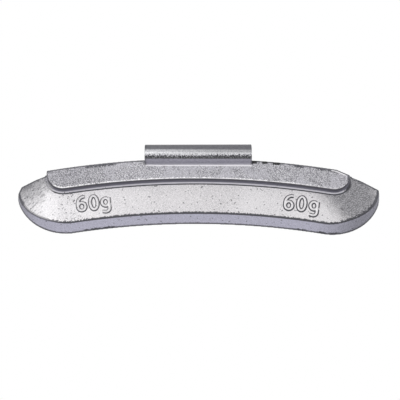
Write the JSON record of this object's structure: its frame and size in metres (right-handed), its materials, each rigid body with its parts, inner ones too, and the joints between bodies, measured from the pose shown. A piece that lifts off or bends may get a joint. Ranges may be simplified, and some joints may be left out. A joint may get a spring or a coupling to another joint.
{
  "type": "wheel balance weight",
  "caption": "Arched zinc balance weight with a raised pad and swept-back rounded ends, and a rolled spring steel clip cast in that hooks over the flange of a steel wheel rim",
  "frame": {"origin": "centre of the clip's roll, where the lip of the rim lies, in the middle of the weight's length", "axes": "+X along the weight, +Y towards the wheel, -Y faces out (the side that shows), +Z from the wheel's axis to its rim"},
  "size_m": [0.1033, 0.0157, 0.0262],
  "materials": {
    "cast_zinc": "as-cast satin zinc with fine pits and scratches",
    "spring_steel": "bright rolled strip with fine grain along its length"
  },
  "bodies": {
    "root": {"cast_body": "cast_zinc", "spring_clip": "spring_steel"}
  },
  "joints": []
}
